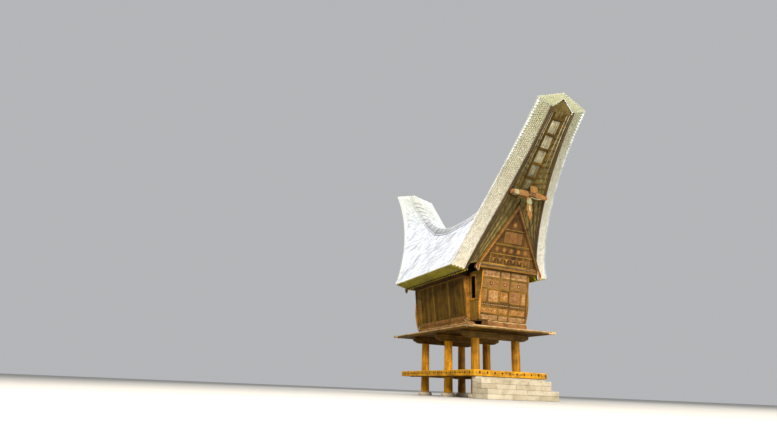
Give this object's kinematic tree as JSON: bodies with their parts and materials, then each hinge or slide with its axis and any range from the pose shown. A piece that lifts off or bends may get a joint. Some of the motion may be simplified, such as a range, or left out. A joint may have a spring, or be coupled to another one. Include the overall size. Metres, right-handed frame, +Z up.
{
  "type": "tongkonan house",
  "caption": "Traditional raised timber house on round posts with a sitting deck, a carved body and a saddle roof of bamboo with two upswept horns.",
  "frame": {"origin": "on the ground, under the centre of the bounding box", "axes": "+Z up, the front gable and its step face -Y, the long walls face +X and -X; the front horn reaches further than the rear one, so the posts' centre lies at y = +0.595 m"},
  "size_m": [4.674, 12.01, 10.82],
  "materials": {
    "stone": "rough hewn pale stone, dusty",
    "post_wood": "round hardwood log, worn and oiled by hands",
    "deck_planks": "thick sawn planks with a carved edge, weathered",
    "frame_timber": "adzed hardwood beams and boards, dark with smoke and age",
    "carved_boards": "incised wall boards painted red, ochre, black and white, faded",
    "carved_trim": "incised orange-brown boards",
    "bamboo_roof": "layered split bamboo, weathered grey-white on top, cream at the cut ends",
    "hatch_wood": "carved door leaf, faded red"
  },
  "bodies": {
    "root": {"footing_stone_front_left": "stone", "footing_stone_front_right": "stone", "footing_stone_middle_left": "stone", "footing_stone_middle_right": "stone", "footing_stone_rear_left": "stone", "footing_stone_rear_right": "stone", "step_upper": "stone", "step_lower": "stone", "post_front_left": "post_wood", "post_front_right": "post_wood", "head_beam_front": "frame_timber", "post_middle_left": "post_wood", "post_middle_right": "post_wood", "head_beam_middle": "frame_timber", "post_rear_left": "post_wood", "post_rear_right": "post_wood", "head_beam_rear": "frame_timber", "deck_floor": "deck_planks", "deck_edge_front": "deck_planks", "deck_edge_rear": "deck_planks", "deck_edge_left": "deck_planks", "deck_edge_right": "deck_planks", "deck_beam_left": "frame_timber", "deck_beam_right": "frame_timber", "ledge": "frame_timber", "sill_left": "frame_timber", "sill_right": "frame_timber", "sill_front": "frame_timber", "sill_rear": "frame_timber", "body_floor": "frame_timber", "wall_plate_left": "frame_timber", "wall_plate_right": "frame_timber", "gable_beam_front": "frame_timber", "gable_beam_rear": "frame_timber", "horn_soffit_front": "frame_timber", "horn_soffit_rear": "frame_timber", "wall_left": "carved_boards", "wall_right": "carved_boards", "wall_front": "carved_boards", "wall_rear": "carved_boards", "bay_side_front_left": "carved_boards", "bay_side_front_right": "carved_boards", "bay_side_rear_left": "carved_boards", "bay_side_rear_right": "carved_boards", "gable_wall_front": "carved_boards", "gable_wall_rear": "carved_boards", "raking_boards_front": "carved_trim", "raking_boards_rear": "carved_trim", "cross_beam_front": "carved_trim", "cross_beam_rear": "carved_trim", "roof_slope_left": "bamboo_roof", "roof_slope_right": "bamboo_roof", "ridge_cap": "bamboo_roof", "hatch_front": "hatch_wood"}
  },
  "joints": []
}
